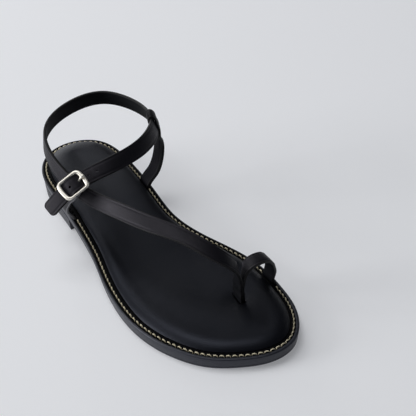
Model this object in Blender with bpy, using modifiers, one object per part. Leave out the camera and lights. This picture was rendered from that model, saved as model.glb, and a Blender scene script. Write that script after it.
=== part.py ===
"""A flat leather sandal for the right foot, held by one long wrap strap and a toe loop.

Sizes are in millimetres, in the shoe's own directions: along runs from heel to toe, across runs to the
inner (medial) side, and up is the height above the floor. The model stands with its toe towards -Y.
"""
import math

import bmesh
import bpy
import numpy as np
from mathutils import Vector

MM = 0.001
GAP = 0.3  # room left between two pieces that touch
CENTRE_ALONG = 125.0  # the point of the floor that is the model's origin
CENTRE_ACROSS = -11.6

# Sole: a row for each cross-section, with the height of the stitched rim and the thickness below it
HEEL_END = (-3.4, 4.0)
TOE_END = (253.4, -4.0)
#    along lateral medial  rim  thickness
SOLE_SECTIONS = (
    (0, -9.3, 17.9, 17.4, 7.6),
    (10, -20.2, 29.0, 17.4, 7.6),
    (30, -28.6, 33.3, 17.4, 7.6),
    (50, -32.2, 31.4, 17.4, 7.6),
    (70, -36.1, 28.3, 17.1, 7.6),
    (90, -40.6, 24.5, 15.8, 7.8),
    (110, -45.8, 21.7, 13.8, 8.2),
    (130, -52.5, 24.0, 11.5, 8.8),
    (150, -57.7, 29.6, 9.6, 9.6),
    (170, -60.5, 34.2, 9.2, 9.2),
    (190, -59.7, 35.1, 9.2, 9.2),
    (210, -54.5, 32.1, 9.2, 9.2),
    (230, -43.8, 26.1, 9.6, 8.7),
    (244, -28.2, 16.8, 10.0, 8.2),
    (251, -15.8, 7.8, 10.2, 8.0),
)
SOLE_EASE = (-10, 0, 10)  # offsets along the shoe over which the heights are averaged
SIDE_POINTS = 34  # points along each side of the outline
OUTLINE_STEPS = 600
SOLE_EDGE = 0.8  # rounding of the sole's edges
SOLE_DRAFT = 0.9  # how far the sole's side leans in towards its lower edge
HEEL_BREAST = 63.4  # where the heel stops
HEEL_DRAFT = 0.6

# Footbed: a padded layer inside the stitch line, with a rolled edge
FOOTBED_INSET = 6.4
FOOTBED_HEIGHT = 4.2
FOOTBED_ROLL = 3.6
FOOTBED_DISH = 1.0
FOOTBED_DISH_BREADTH = 40.0  # breadth from which the dish has its full depth
FOOTBED_COLUMNS = 6

# Straps
STRAP_WIDTH = 10.8
STRAP_THICKNESS = 2.0
LOOP_WIDTH = 10.4
MEDIAL_LEG_WIDTH = 11.4
LATERAL_LEG_WIDTH = 10.8
LATERAL_LEG_THICKNESS = 1.8
STATION = 3.0  # distance between a strap's cross-sections
FOLD_STATION = 1.2  # the same where a strap folds tightly
TIP_ROUND = 3.0  # corners of the wrap strap's free end
TIP_CORNER = (0, 22, 45, 67, 85)  # angles round such a corner, in degrees

# Wrap strap: slot, instep, lateral ankle, heel, medial keeper, instep, buckle, free tip.
# turn and tip are the compass and height angles of the strap's outer face, in degrees.
#    along  across  up   turn  tip
WRAP_STRAP = (
    (203.2, 1.65, 8.3, 76, 0),
    (203.2, 1.65, 24.7, 79, 4),
    (204.2, -0.8, 41.2, 55, 23),
    (197.2, -9.2, 51.4, 22, 62),
    (179.5, -17.1, 57.5, -23, 77),
    (155.3, -26.3, 58.4, -78, 59),
    (126.0, -31.7, 54.8, -80, 38),
    (98.0, -37.6, 54.0, -76, 20),
    (73.5, -41.2, 60.5, -90, 13),
    (51.1, -36.5, 64.3, -114, 8),
    (30.0, -21.7, 63.5, -143, 4),
    (19.4, 2.9, 62.9, -177, 1),
    (24.3, 26.4, 63.3, -219, 4),
    (45.8, 37.3, 63.7, -257, 8),
    (68.9, 35.6, 66.7, -283, 13),
    (77.8, 32.4, 68.4, -298, 18),
    (86.4, 26.5, 69.7, -315, 24),
    (97.1, 10.7, 70.5, -339, 35),
    (100.9, -7.7, 70.6, -359, 45),
    (99.3, -26.9, 68.9, -381, 56),
)
# The strap's last stretch, in the buckle's own directions: under the frame's ends and over its bar
#   run   lift
WRAP_END = (
    (-8.2, -2.7),
    (-5.2, -1.7),
    (0.0, 0.4),
    (5.2, -1.7),
    (8.2, -2.8),
    (22.2, -10.0),
)
KEEPER_ROW = 15

# Toe loop: from the slot over the great toe to the medial rim.
# skew is how far its width leans across for each unit along.
#    along  across  up  skew
TOE_LOOP = (
    (203.2, 3.3, 8.0, -0.25),
    (203.2, 3.3, 14.0, -0.25),
    (203.2, 3.3, 21.0, -0.30),
    (204.4, 5.2, 30.0, -0.70),
    (204.0, 9.0, 36.2, -0.45),
    (203.9, 16.3, 37.6, -0.22),
    (203.8, 23.9, 34.8, -0.12),
    (201.9, 28.5, 27.2, -0.08),
    (200.1, 31.0, 18.8, -0.08),
    (198.6, 30.4, 11.0, -0.10),
    (198.6, 30.4, 5.5, -0.10),
)
LOOP_FLAT = tuple((1.0, skew, 0.0) for *_, skew in TOE_LOOP)  # direction of the loop's width at each row

# Medial leg, two layers thick, up to the keeper round the wrap strap
MEDIAL_LEG = (
    (74.0, 23.8, 12.3),
    (74.0, 23.8, 16.4),
    (74.4, 25.4, 20.5),
    (75.6, 30.6, 26.6),
    (75.8, 35.5, 36.3),
    (76.0, 37.0, 48.9),
    (79.4, 32.8, 62.9),
)
MEDIAL_LEG_FLAT = (1.0, -0.17, 0.05)
MEDIAL_LEG_THICKNESS = 3.0
KEEPER_THICKNESS = 1.8
KEEPER_OVERLAP = 0.7  # how far the keeper presses into the strap
KEEPER_STRAIGHT = 0.6  # share of its height that is straight
KEEPER_CREST = 0.4  # how far its bends stand past the strap's edges

# Lateral leg: one strip, up from the rim and round the buckle's bar, with its end glued behind it
LATERAL_LEG = (
    (68.2, -33.6, 12.3),
    (68.2, -33.6, 16.4),
    (68.4, -35.1, 20.0),
    (69.8, -39.2, 26.8),
    (76.0, -41.8, 38.5),
    (86.0, -43.8, 50.5),
)
LATERAL_LEG_FOLD = (-20, 40, 100, 160, 205)  # angles round the bar, in degrees
LATERAL_LEG_END = (
    (93.6, -42.8, 59.6),
    (89.8, -43.0, 54.6),
    (85.8, -42.2, 50.6),
    (81.8, -41.0, 46.2),
)
LATERAL_LEG_FLAT = (1.0, -0.22, 0.0)

# Slots that the straps' ends stand in
SLOT_ROOM = 0.45
SLOT_HEADROOM = 8.0
MEDIAL_NOTCH = 1.4  # how far the footbed is cut back behind the medial leg

# Buckle: a bowed rounded frame above the strap, with a bar below it that carries the leg and the prong
BUCKLE_CENTRE = (96.5, -45.7, 65.2)
BUCKLE_TURN, BUCKLE_TIP = -44, 57
BUCKLE_RUN = (-0.11, -0.92, -0.37)  # along the strap, towards its tip
BUCKLE_LENGTH, BUCKLE_WIDTH = 17.4, 14.9
BUCKLE_CORNER = 2.1
BUCKLE_BOW = 0.9
BUCKLE_WIRE = 0.95  # radius
CORNER_POINTS = 5
BAR_RADIUS = 0.9
BAR_DROP = 3.4
HANGER_DROP = 0.75  # share of the drop that the bar's ends hang straight down
PRONG_RADIUS = 0.65
PRONG_SWELL = 1.6  # the visible end is thicker than the hook by this much
PRONG_HOOK = (210, 270, 330, 30, 90, 150)  # angles round the bar, in degrees
#   run   lift
PRONG_SHANK = (
    (-3.9, -2.4),
    (-4.9, -0.8),
    (-5.9, 0.9),
    (-7.0, 2.1),
    (-8.0, 2.4),
    (-8.6, 2.3),
)
PRONG_HOLE = (-6.2, -2.6)  # ends of the hole that the prong comes through
HOOK_SLOT = (-4.6, 3.1)  # ends of the slot that the prong's hook lies in
HOOK_SLOT_LIFT = (-6.6, -0.75)

LEATHER = ((0.012, 0.012, 0.014), 0.45, 0.0)
SOLE_LEATHER = ((0.022, 0.026, 0.036), 0.5, 0.0)
NICKEL = ((0.72, 0.70, 0.66), 0.22, 1.0)


def place(point):
    """A point of the shoe, in the model's metres."""
    along, across, up = point
    return Vector((across - CENTRE_ACROSS, CENTRE_ALONG - along, up)) * MM


def spline(knots, values, where):
    """Natural cubic spline through values, a row for each knot."""
    knots, values = np.asarray(knots, float), np.asarray(values, float)
    step = np.diff(knots)
    slope = np.diff(values, axis=0) / step[:, None]
    count = len(knots)
    system = np.eye(count)
    right = np.zeros_like(values)
    for i in range(1, count - 1):
        system[i, i - 1 : i + 2] = step[i - 1], 2 * (step[i - 1] + step[i]), step[i]
        right[i] = 6 * (slope[i] - slope[i - 1])
    bend = np.linalg.solve(system, right)
    i = np.clip(np.searchsorted(knots, where) - 1, 0, count - 2)
    a = ((knots[i + 1] - where) / step[i])[:, None]
    b = 1 - a
    curve = (a**3 - a) * bend[i] + (b**3 - b) * bend[i + 1]
    return a * values[i] + b * values[i + 1] + curve * (step[i] ** 2)[:, None] / 6


def chords(points):
    """Distance along a row of points."""
    return np.concatenate([[0], np.cumsum(np.linalg.norm(np.diff(points, axis=0), axis=1))])


def unit(rows):
    rows = np.asarray(rows, float)
    return rows / np.linalg.norm(rows, axis=-1, keepdims=True)


def sole_height(along):
    """(rim, underside) of the sole at each point along the shoe."""
    rows = np.array(SOLE_SECTIONS, float)
    rim, thickness = (
        np.mean([np.interp(along + shift, rows[:, 0], rows[:, k]) for shift in SOLE_EASE], axis=0)
        for k in (3, 4)
    )
    return rim, np.maximum(rim - thickness, 0)


def outline(inset, stop=None):
    """The sole's outline, moved in by inset, as (lateral, medial) rows of points from heel to toe."""
    rows = np.array(SOLE_SECTIONS, float)
    lateral, medial = rows[:, [0, 1]], rows[:, [0, 2]]
    loop = np.vstack([HEEL_END, medial, TOE_END, lateral[::-1]])
    wrap = 4
    around = np.vstack([loop[-wrap:], loop, loop[: wrap + 1]])
    knots = chords(around)
    toe = len(rows) + 1
    sides = []
    for first, last in ((len(loop), toe), (0, toe)):
        where = np.linspace(knots[wrap + first], knots[wrap + last], OUTLINE_STEPS)
        tangent = unit(spline(knots, around, where + 1) - spline(knots, around, where - 1))
        inward = np.stack([tangent[:, 1], -tangent[:, 0]], axis=1)
        points = spline(knots, around, where) + inset * inward
        if stop is not None:
            keep = points[:, 0] < stop
            points = np.vstack([points[keep], [stop, np.interp(stop, points[:, 0], points[:, 1])]])
        length = chords(points)
        spaced = np.linspace(0, length[-1], SIDE_POINTS)
        sides.append(np.stack([np.interp(spaced, length, points[:, k]) for k in (0, 1)], axis=1))
    return sides


def new_object(name, bm, finish, collection):
    """Closes a bmesh into a named object with its own material."""
    bm.normal_update()
    bmesh.ops.recalc_face_normals(bm, faces=bm.faces)
    mesh = bpy.data.meshes.new(name)
    bm.to_mesh(mesh)
    bm.free()
    return mesh_object(name, mesh, finish, collection)


def mesh_object(name, mesh, finish, collection):
    colour, roughness, metallic = finish
    material = bpy.data.materials.new(name)
    material.use_nodes = True
    shader = material.node_tree.nodes["Principled BSDF"]
    shader.inputs["Base Color"].default_value = (*colour, 1)
    shader.inputs["Roughness"].default_value = roughness
    shader.inputs["Metallic"].default_value = metallic
    mesh.materials.clear()
    mesh.materials.append(material)
    mesh.shade_smooth()
    mesh.set_sharp_from_angle(angle=math.radians(35))
    item = bpy.data.objects.new(name, mesh)
    collection.objects.link(item)
    if collection is not parts:
        item.hide_render = True
        item.display_type = "WIRE"
    return item


def loft(name, rings, finish, collection, top=None):
    """A solid between rings that are (lateral, medial) rows of 3-D points, capped across from side to side.

    top, where given, takes the share across, the breadth there and the point, and shapes the upper cap.
    """
    bm = bmesh.new()
    made = []
    for lateral, medial in rings:
        lateral_points = [bm.verts.new(place(p)) for p in lateral]
        medial_points = [bm.verts.new(place(p)) for p in medial]
        made.append((lateral_points, medial_points))
    for (low_lateral, low_medial), (high_lateral, high_medial) in zip(made, made[1:]):
        low = low_lateral + low_medial[::-1]
        high = high_lateral + high_medial[::-1]
        for i in range(len(low)):
            j = (i + 1) % len(low)
            bm.faces.new((low[i], low[j], high[j], high[i]))
    lateral, medial = rings[-1]
    columns = [made[-1][0]]
    if top:
        for share in np.linspace(0, 1, FOOTBED_COLUMNS)[1:-1]:
            points = lateral * (1 - share) + medial * share
            breadth = np.linalg.norm(lateral - medial, axis=1)
            columns.append([bm.verts.new(place(top(share, b, p))) for b, p in zip(breadth, points)])
    columns.append(made[-1][1])
    for row in (made[0], columns):
        for left, right in zip(row, row[1:]):
            for i in range(len(left) - 1):
                bm.faces.new((left[i], left[i + 1], right[i + 1], right[i]))
    bmesh.ops.remove_doubles(bm, verts=bm.verts, dist=0.02 * MM)
    return new_object(name, bm, finish, collection)


def ring(inset, height, stop=None):
    """The outline at an inset, lifted to the height that a function gives along the shoe."""
    return [np.column_stack([side, height(side[:, 0])]) for side in outline(inset, stop)]


def build_outsole():
    rim = lambda along: sole_height(along)[0]
    under = lambda along: sole_height(along)[1]
    rings = (
        ring(SOLE_DRAFT + SOLE_EDGE, under),
        ring(SOLE_DRAFT, lambda along: under(along) + SOLE_EDGE),
        ring(0, lambda along: rim(along) - SOLE_EDGE),
        ring(SOLE_EDGE, rim),
    )
    return loft("outsole", rings, SOLE_LEATHER, parts)


def build_heel():
    seat = lambda along: sole_height(along)[1] - GAP
    rings = (
        ring(SOLE_DRAFT + HEEL_DRAFT + SOLE_EDGE, lambda along: 0 * along, HEEL_BREAST),
        ring(SOLE_DRAFT + HEEL_DRAFT, lambda along: 0 * along + SOLE_EDGE, HEEL_BREAST),
        ring(SOLE_DRAFT, seat, HEEL_BREAST),
    )
    return loft("heel", rings, SOLE_LEATHER, parts)


def build_footbed():
    base = lambda along: sole_height(along)[0] + GAP
    rings = [ring(FOOTBED_INSET, base)]
    for angle in np.radians((0, 30, 60, 90)):
        inset = FOOTBED_INSET + FOOTBED_ROLL * (1 - math.cos(angle))
        lift = FOOTBED_HEIGHT - FOOTBED_ROLL * (1 - math.sin(angle))
        rings.append(ring(inset, lambda along, lift=lift: base(along) + lift))

    def dished(share, breadth, point):
        depth = FOOTBED_DISH * math.sin(math.pi * share) * min(1, breadth / FOOTBED_DISH_BREADTH)
        return point - np.array([0, 0, depth])

    return loft("footbed", rings, LEATHER, parts, dished)


def strap_frames(rows, flat, station, round_end):
    """(distance, middle, width direction) at a strap's cross-sections.

    The width lies along flat, one direction for the whole strap or one for each row, or else square to the
    face that the rows' turn and tip give.
    """
    rows = np.asarray(rows, float)
    middle = rows[:, :3]
    knots = chords(middle)
    where = np.linspace(0, knots[-1], round(knots[-1] / station) + 1)
    if round_end:
        corner = knots[-1] - round_end * (1 - np.sin(np.radians(TIP_CORNER)))
        where = np.concatenate([where[where < corner[0] - station / 2], corner])
    points = spline(knots, middle, where)
    tangent = unit(np.gradient(points, where, axis=0))
    if flat is not None:
        wide = spline(knots, np.broadcast_to(flat, middle.shape), where)
    else:
        turn, tip = np.radians(rows[:, 3:5].T)
        facing = np.stack([np.cos(tip) * np.cos(turn), np.cos(tip) * np.sin(turn), np.sin(tip)], axis=1)
        wide = np.cross(spline(knots, facing, where), tangent)
    wide = unit(wide - tangent * np.sum(wide * tangent, axis=1, keepdims=True))
    return where - knots[-1], points, wide


def strap(name, rows, width, thickness, collection, flat=None, station=STATION, round_end=0.0, closed=False):
    """A strip of leather along its rows: an open ribbon given its thickness by Solidify."""
    where, points, wide = strap_frames(rows, flat, station, round_end)
    if closed:
        points, wide, where = points[:-1], wide[:-1], where[:-1]
    left = np.clip(round_end + where, 0, round_end)
    half = width / 2 - round_end + np.sqrt(round_end**2 - left**2)
    bm = bmesh.new()
    strips = [
        [bm.verts.new(place(p + w * h * side)) for p, w, h in zip(points, wide, half)] for side in (-1, 0, 1)
    ]
    last = len(points) if closed else len(points) - 1
    for left, right in zip(strips, strips[1:]):
        for i in range(last):
            j = (i + 1) % len(points)
            bm.faces.new((left[i], left[j], right[j], right[i]))
    item = new_object(name, bm, LEATHER, collection)
    skin = item.modifiers.new("thickness", "SOLIDIFY")
    skin.thickness = thickness * MM
    skin.offset = 0
    skin.use_even_offset = True
    return item


def frame_at(rows, index):
    """(middle, strap direction, outer face, up across the strap) at one of the wrap strap's rows."""
    middle = np.array(rows[index][:3])
    run = np.array(rows[index + 1][:3]) - np.array(rows[index - 1][:3])
    return middle, *face_frame(run, *rows[index][3:])


def face_frame(run, turn, tip):
    turn, tip = math.radians(turn), math.radians(tip)
    face = np.array([math.cos(tip) * math.cos(turn), math.cos(tip) * math.sin(turn), math.sin(tip)])
    run = unit(run - face * np.dot(run, face))
    return run, face, np.cross(run, face)


def keeper_rows():
    """The loop that the medial leg makes round the wrap strap, as a ring of points."""
    middle, _, face, rise = frame_at(WRAP_STRAP, KEEPER_ROW)
    out = (STRAP_THICKNESS + KEEPER_THICKNESS) / 2 - KEEPER_OVERLAP
    high = (STRAP_WIDTH + KEEPER_THICKNESS) / 2 - KEEPER_OVERLAP
    straight, crest = high * KEEPER_STRAIGHT, high + KEEPER_CREST
    corners = (
        (-out, -straight), (-out, straight), (0, crest), (out, straight), (out, -straight), (0, -crest),
        (-out, -straight),
    )
    return [middle + face * a + rise * b for a, b in corners]


def buckle_point(run, across, lift):
    """A point of the buckle: towards the strap's tip, across the strap, and out from its face."""
    along, face, side = face_frame(np.array(BUCKLE_RUN), BUCKLE_TURN, BUCKLE_TIP)
    return np.array(BUCKLE_CENTRE) + along * run + side * across + face * lift


def lateral_leg_rows():
    """(rows, width directions) of the lateral strip, from the rim round the buckle's bar to its glued end."""
    fold = round_bar(BAR_RADIUS + GAP + LATERAL_LEG_THICKNESS / 2, LATERAL_LEG_FOLD)
    side = buckle_point(0, -1, 0) - buckle_point(0, 0, 0)
    rows = [*LATERAL_LEG, *fold, *LATERAL_LEG_END]
    share = np.ones(len(rows))
    share[: len(LATERAL_LEG)] = np.linspace(0, 1, len(LATERAL_LEG)) ** 2
    return rows, np.outer(1 - share, LATERAL_LEG_FLAT) + np.outer(share, side)


def round_bar(radius, angles):
    """Points round the buckle's bar, in the plane of the strap's middle."""
    return [
        buckle_point(radius * math.cos(a), 0, radius * math.sin(a) - BAR_DROP) for a in np.radians(angles)
    ]


def wrap_rows():
    end = [(*buckle_point(run, 0, lift), BUCKLE_TURN - 360, BUCKLE_TIP) for run, lift in WRAP_END]
    return [*WRAP_STRAP, *end]


def tube(name, points, radius, collection, closed=False, swell=None):
    """A round wire through points, as a closed mesh. swell scales its radius at each point."""
    curve = bpy.data.curves.new(name, "CURVE")
    curve.dimensions = "3D"
    curve.bevel_depth = radius * MM
    curve.bevel_resolution = 2
    curve.use_fill_caps = True
    line = curve.splines.new("POLY")
    line.points.add(len(points) - 1)
    for i, (knot, point) in enumerate(zip(line.points, points)):
        knot.co = (*place(point), 1)
        knot.radius = swell[i] if swell else 1
    line.use_cyclic_u = closed
    guide = bpy.data.objects.new(name + "_path", curve)
    bpy.context.scene.collection.objects.link(guide)
    graph = bpy.context.evaluated_depsgraph_get()
    mesh = bpy.data.meshes.new_from_object(guide.evaluated_get(graph))
    bpy.data.objects.remove(guide)
    bm = bmesh.new()
    bm.from_mesh(mesh)
    bmesh.ops.remove_doubles(bm, verts=bm.verts, dist=0.01 * MM)
    bmesh.ops.recalc_face_normals(bm, faces=bm.faces)
    bm.to_mesh(mesh)
    bm.free()
    mesh.name = name
    return mesh_object(name, mesh, NICKEL, collection)


def block(name, corners):
    """A box cutter with eight corners, given as its middle and its three half sides."""
    middle, *halves = (np.asarray(c, float) for c in corners)
    bm = bmesh.new()
    bmesh.ops.create_cube(bm, size=2)
    for vert in bm.verts:
        vert.co = place(middle + sum(half * sign for half, sign in zip(halves, vert.co)))
    return new_object(name, bm, LEATHER, cutters)


def strap_slot(name, foot, flat, width, thickness, reach=0.0):
    """The slot that a strap's end stands in, open upwards.

    reach carries it on towards the shoe's middle or, where negative, towards its edge.
    """
    along = unit((flat[0], flat[1], 0))
    inward = np.array([along[1], -along[0], 0]) * (1 if foot[1] > 0 else -1)
    middle = np.array(foot) + inward * reach / 2 + np.array([0, 0, SLOT_HEADROOM / 2 - GAP])
    return block(name, (
        middle,
        along * (width / 2 + SLOT_ROOM),
        inward * (thickness / 2 + SLOT_ROOM + abs(reach) / 2),
        (0, 0, SLOT_HEADROOM / 2),
    ))


def buckle_slot(name, ends, lifts):
    """A narrow slot along the strap under the buckle, for the prong."""
    run, lift = (sum(ends) / 2, sum(lifts) / 2)
    middle = buckle_point(run, 0, lift)
    return block(name, (
        middle,
        buckle_point(ends[1], 0, lift) - middle,
        buckle_point(run, PRONG_RADIUS * PRONG_SWELL + SLOT_ROOM, lift) - middle,
        buckle_point(run, 0, lifts[1]) - middle,
    ))


def combine(target, other, operation):
    modifier = target.modifiers.new(f"{operation.lower()} {other.name}", "BOOLEAN")
    modifier.operation = operation
    modifier.object = other
    modifier.solver = "EXACT"
    modifier.use_self = operation == "UNION"


def build_straps():
    upper = strap("upper_straps", wrap_rows(), STRAP_WIDTH, STRAP_THICKNESS, parts, round_end=TIP_ROUND)
    leg, leg_flat = lateral_leg_rows()
    keeper_run = frame_at(WRAP_STRAP, KEEPER_ROW)[1]
    pieces = (
        strap("toe_loop", TOE_LOOP, LOOP_WIDTH, STRAP_THICKNESS, cutters, LOOP_FLAT),
        strap("medial_leg", MEDIAL_LEG, MEDIAL_LEG_WIDTH, MEDIAL_LEG_THICKNESS, cutters, MEDIAL_LEG_FLAT),
        strap("keeper", keeper_rows(), MEDIAL_LEG_WIDTH, KEEPER_THICKNESS, cutters, keeper_run, closed=True),
        strap("lateral_leg", leg, LATERAL_LEG_WIDTH, LATERAL_LEG_THICKNESS, cutters, leg_flat, FOLD_STATION),
    )
    for piece in pieces:
        combine(upper, piece, "UNION")
    combine(upper, buckle_slot("hook_slot", HOOK_SLOT, HOOK_SLOT_LIFT), "DIFFERENCE")
    combine(upper, buckle_slot("prong_hole", PRONG_HOLE, (-BAR_DROP, BAR_DROP)), "DIFFERENCE")


def cut_slots(outsole, footbed):
    post = np.mean([WRAP_STRAP[0][:3], TOE_LOOP[0][:3]], axis=0)
    post_thickness = TOE_LOOP[0][1] - WRAP_STRAP[0][1] + STRAP_THICKNESS
    medial = (MEDIAL_LEG_FLAT, MEDIAL_LEG_WIDTH, MEDIAL_LEG_THICKNESS)
    lateral = (LATERAL_LEG_FLAT, LATERAL_LEG_WIDTH, LATERAL_LEG_THICKNESS)
    slots = (
        strap_slot("post_slot", post, LOOP_FLAT[0], STRAP_WIDTH, post_thickness),
        strap_slot("loop_slot", TOE_LOOP[-1][:3], LOOP_FLAT[-1], LOOP_WIDTH, STRAP_THICKNESS),
        strap_slot("medial_slot", MEDIAL_LEG[0], *medial),
        strap_slot("lateral_slot", LATERAL_LEG[0], *lateral),
    )
    notches = (slots[0], strap_slot("medial_notch", MEDIAL_LEG[1], *medial, MEDIAL_NOTCH))
    for piece, cuts in ((outsole, slots), (footbed, notches)):
        for cut in cuts:
            combine(piece, cut, "DIFFERENCE")


def build_buckle():
    half_length, half_width = BUCKLE_LENGTH / 2 - BUCKLE_WIRE, BUCKLE_WIDTH / 2 - BUCKLE_WIRE
    points = []
    for quarter in range(4):
        for angle in np.linspace(0, 90, CORNER_POINTS) + 90 * quarter:
            turn, corner = math.radians(angle), math.radians(45 + 90 * quarter)
            run = math.copysign(half_length - BUCKLE_CORNER, math.cos(corner))
            run += BUCKLE_CORNER * math.cos(turn)
            across = math.copysign(half_width - BUCKLE_CORNER, math.sin(corner))
            across += BUCKLE_CORNER * math.sin(turn)
            bow = BUCKLE_BOW * (1 - (across / half_width) ** 2)
            points.append(buckle_point(run + math.copysign(bow, run), across, 0))
    frame = tube("buckle_frame", points, BUCKLE_WIRE, parts, closed=True)
    elbow = half_width - BAR_RADIUS
    hanger = ((half_width, 0), (half_width, -HANGER_DROP), (elbow, -1))
    bar = [buckle_point(0, -across, lift * BAR_DROP) for across, lift in hanger]
    bar += [buckle_point(0, across, lift * BAR_DROP) for across, lift in hanger[::-1]]
    combine(frame, tube("buckle_bar", bar, BAR_RADIUS, cutters), "UNION")
    hook = round_bar(BAR_RADIUS + GAP + PRONG_RADIUS, PRONG_HOOK)
    shank = [buckle_point(run, 0, lift) for run, lift in PRONG_SHANK]
    swell = [1] * len(hook) + list(np.linspace(1, PRONG_SWELL, len(shank)))
    tube("buckle_prong", [*hook, *shank], PRONG_RADIUS, parts, swell=swell)


for item in list(bpy.data.objects):
    bpy.data.objects.remove(item)
parts = bpy.data.collections.new("strappy_flat_sandal")
cutters = bpy.data.collections.new("cutters")
for group in (parts, cutters):
    bpy.context.scene.collection.children.link(group)

outsole = build_outsole()
build_heel()
footbed = build_footbed()
build_straps()
build_buckle()
cut_slots(outsole, footbed)
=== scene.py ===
import math

import bmesh
import bpy
import numpy as np
from mathutils import Matrix, Quaternion, Vector


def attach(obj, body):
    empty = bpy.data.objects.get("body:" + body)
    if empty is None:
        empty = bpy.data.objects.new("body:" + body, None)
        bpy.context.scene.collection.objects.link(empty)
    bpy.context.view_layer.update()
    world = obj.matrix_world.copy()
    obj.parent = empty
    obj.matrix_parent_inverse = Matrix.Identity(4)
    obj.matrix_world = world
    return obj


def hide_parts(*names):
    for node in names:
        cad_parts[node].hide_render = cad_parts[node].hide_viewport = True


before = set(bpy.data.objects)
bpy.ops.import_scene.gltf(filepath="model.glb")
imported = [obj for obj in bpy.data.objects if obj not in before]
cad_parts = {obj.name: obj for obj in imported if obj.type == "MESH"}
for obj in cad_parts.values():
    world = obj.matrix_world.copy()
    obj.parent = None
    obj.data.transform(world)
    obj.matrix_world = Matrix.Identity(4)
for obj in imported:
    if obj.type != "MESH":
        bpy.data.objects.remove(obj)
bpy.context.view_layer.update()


# Outsole: one thickness of sole leather from heel to toe, its side sanded, inked black and waxed.
# Its rim stands out past the footbed and has a shallow channel with the seam's needle holes.
# Sizes are in millimetres: along from heel to toe, across to the inner side, up from the floor.
CENTRE_ALONG, CENTRE_ACROSS = 125.0, -11.6
HEEL_END, TOE_END = (-3.4, 4.0), (253.4, -4.0)
#    along lateral medial  rim  thickness
SOLE_SECTIONS = (
    (0, -9.3, 17.9, 17.4, 7.6),
    (10, -20.2, 29.0, 17.4, 7.6),
    (30, -28.6, 33.3, 17.4, 7.6),
    (50, -32.2, 31.4, 17.4, 7.6),
    (70, -36.1, 28.3, 17.1, 7.6),
    (90, -40.6, 24.5, 15.8, 7.8),
    (110, -45.8, 21.7, 13.8, 8.2),
    (130, -52.5, 24.0, 11.5, 8.8),
    (150, -57.7, 29.6, 9.6, 9.6),
    (170, -60.5, 34.2, 9.2, 9.2),
    (190, -59.7, 35.1, 9.2, 9.2),
    (210, -54.5, 32.1, 9.2, 9.2),
    (230, -43.8, 26.1, 9.6, 8.7),
    (244, -28.2, 16.8, 10.0, 8.2),
    (251, -15.8, 7.8, 10.2, 8.0),
)
SOLE_EASE = (-10, 0, 10)
SIDE_POINTS = 620
SOLE_EDGE, SOLE_DRAFT, RIM_ROUND = 0.8, 0.9, 0.9
EDGE_STEPS = (0, 22, 45, 67, 90)
LINE_AT, LINE_DEPTH, LINE_HALF = 1.9, 0.12, 0.3  # fine line round the side, above the underside
LINE_LEAN = 0.8  # share of the draft that is left there
SEAM_INSET, STITCH = 3.3, 3.95
CHANNEL_DEPTH, CHANNEL_WIDTH = 0.4, 0.9
PIT_DEPTH, PIT_RADIUS = 0.9, 0.8
PUCKER, PUCKER_REACH, PUCKER_OUTSIDE = 0.34, 1.7, 0.3
RIM_ROWS = (1.3, 1.8, 2.1, 2.45, 2.75, 3.0, 3.3, 3.6, 3.9, 4.25, 4.7, 5.2, 5.8, 6.6, 8.0)
INK_REACH = ((150, 235), (0.9, 2.3))  # the side's ink runs further over the rim towards the toe


def place(points):
    """Points of the shoe, in the frame's metres."""
    along, across, up = np.moveaxis(np.asarray(points, float), -1, 0)
    return np.stack([across - CENTRE_ACROSS, CENTRE_ALONG - along, up], axis=-1) / 1000


def spline(knots, values, where):
    """Natural cubic spline through values, a row for each knot."""
    knots, values = np.asarray(knots, float), np.asarray(values, float)
    step = np.diff(knots)
    slope = np.diff(values, axis=0) / step[:, None]
    count = len(knots)
    system, right = np.eye(count), np.zeros_like(values)
    for i in range(1, count - 1):
        system[i, i - 1 : i + 2] = step[i - 1], 2 * (step[i - 1] + step[i]), step[i]
        right[i] = 6 * (slope[i] - slope[i - 1])
    bend = np.linalg.solve(system, right)
    i = np.clip(np.searchsorted(knots, where) - 1, 0, count - 2)
    a = ((knots[i + 1] - where) / step[i])[:, None]
    b = 1 - a
    curve = (a**3 - a) * bend[i] + (b**3 - b) * bend[i + 1]
    return a * values[i] + b * values[i + 1] + curve * (step[i] ** 2)[:, None] / 6


def chords(points):
    """Distance along a row of points."""
    return np.concatenate([[0], np.cumsum(np.linalg.norm(np.diff(points, axis=0), axis=1))])


def unit(rows):
    rows = np.asarray(rows, float)
    return rows / np.linalg.norm(rows, axis=-1, keepdims=True)


def sole_height(along):
    """(rim, underside) of the sole at each point along the shoe."""
    rows = np.array(SOLE_SECTIONS, float)
    rim, thickness = (
        np.mean([np.interp(along + shift, rows[:, 0], rows[:, k]) for shift in SOLE_EASE], axis=0)
        for k in (3, 4)
    )
    return rim, np.maximum(rim - thickness, 0)


def rim_height(along):
    return sole_height(along)[0]


def under_height(along):
    return sole_height(along)[1]


def outline(inset, stop=None, count=SIDE_POINTS):
    """The sole's outline moved in by inset: lateral and medial rows of points from heel to toe."""
    rows = np.array(SOLE_SECTIONS, float)
    loop = np.vstack([HEEL_END, rows[:, [0, 2]], TOE_END, rows[::-1, :2]])
    wrap, toe = 4, len(rows) + 1
    around = np.vstack([loop[-wrap:], loop, loop[: wrap + 1]])
    knots = chords(around)
    sides = []
    for first in (len(loop), 0):
        where = np.linspace(knots[wrap + first], knots[wrap + toe], 2 * count)
        tangent = unit(spline(knots, around, where + 1) - spline(knots, around, where - 1))
        points = spline(knots, around, where) + inset * np.stack([tangent[:, 1], -tangent[:, 0]], axis=1)
        if stop is not None:
            end = [stop, np.interp(stop, points[:, 0], points[:, 1])]
            points = np.vstack([points[points[:, 0] < stop], end])
        length = chords(points)
        spaced = np.linspace(0, length[-1], count)
        sides.append(np.stack([np.interp(spaced, length, points[:, k]) for k in (0, 1)], axis=1))
    return sides


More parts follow.
